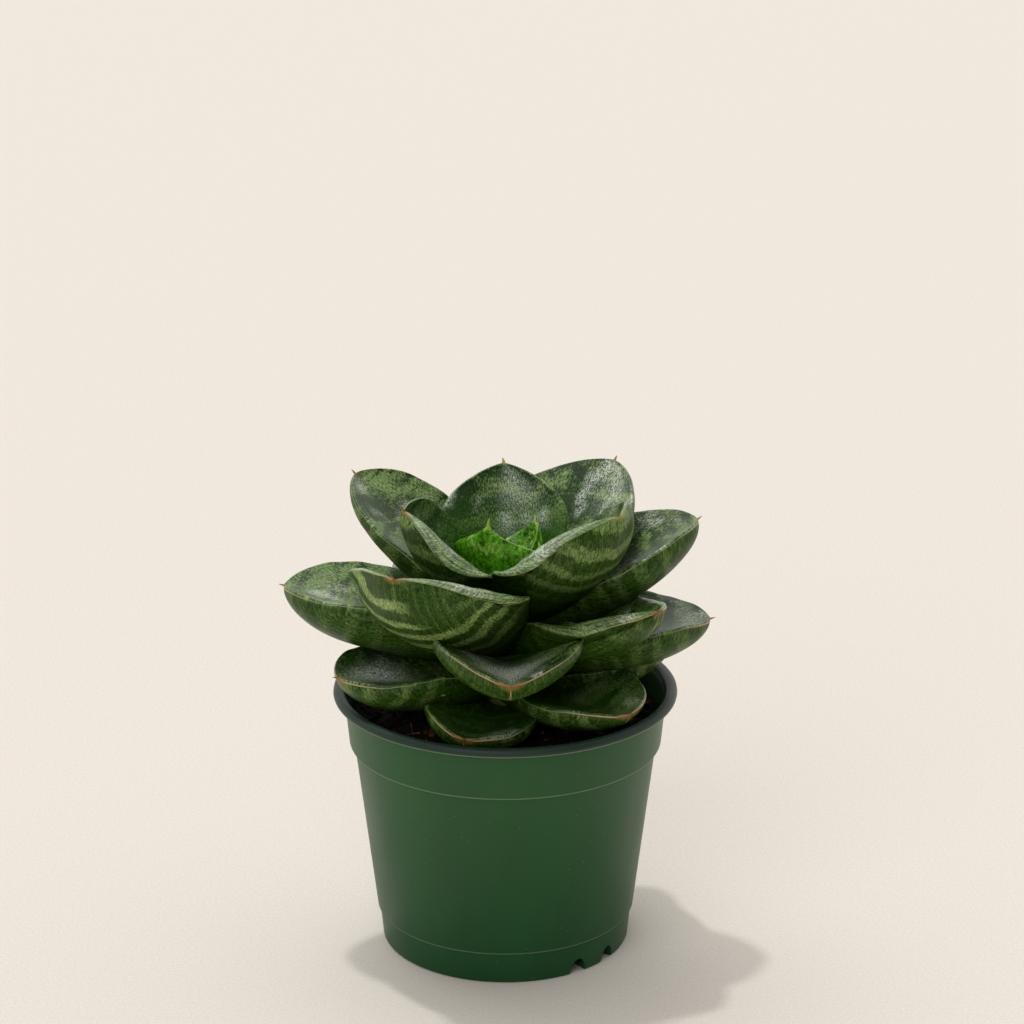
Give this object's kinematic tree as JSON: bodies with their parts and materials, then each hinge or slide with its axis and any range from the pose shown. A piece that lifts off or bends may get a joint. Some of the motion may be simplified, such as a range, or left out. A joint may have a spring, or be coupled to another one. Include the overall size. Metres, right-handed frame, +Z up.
{
  "type": "potted snake plant",
  "caption": "Dwarf snake plant: a rosette of short, thick, cupped leaves with pale cross bands, in a green moulded nursery pot of dark soil.",
  "frame": {"origin": "centre of the pot's flat base, on the surface that the pot stands on", "axes": "+Z up along the pot's axis; -Y towards the front of the plant, +X to its right"},
  "size_m": [0.1365, 0.1107, 0.1511],
  "materials": {
    "leaf": "waxy leaf, dark green with grey-green mottling and pale cross bands, satin sheen",
    "heart_leaf": "young waxy leaf, bright green with a yellow-green margin",
    "pot": "injection-moulded polypropylene, dark green, satin, lightly scuffed",
    "soil": "dark peat potting soil with fibres and bits of bark",
    "stem": "short fleshy stem, pale green, mostly hidden"
  },
  "bodies": {
    "root": {"leaf_heart_spear": "heart_leaf", "leaf_heart_front": "heart_leaf", "leaf_heart_back": "heart_leaf", "leaf_top_back": "leaf", "leaf_top_left": "leaf", "leaf_top_right": "leaf", "leaf_high_left_front": "leaf", "leaf_high_left_back": "leaf", "leaf_high_right_back": "leaf", "leaf_high_back": "leaf", "leaf_high_right": "leaf", "leaf_mid_right_front": "leaf", "leaf_mid_front": "leaf", "leaf_mid_left": "leaf", "leaf_mid_right": "leaf", "leaf_mid_back_left": "leaf", "leaf_mid_back_right": "leaf", "leaf_low_left": "leaf", "leaf_low_front": "leaf", "leaf_low_right": "leaf", "leaf_low_right_back": "leaf", "leaf_low_back": "leaf", "leaf_low_left_back": "leaf", "nursery_pot": "pot", "potting_soil": "soil", "stem": "stem"}
  },
  "joints": []
}
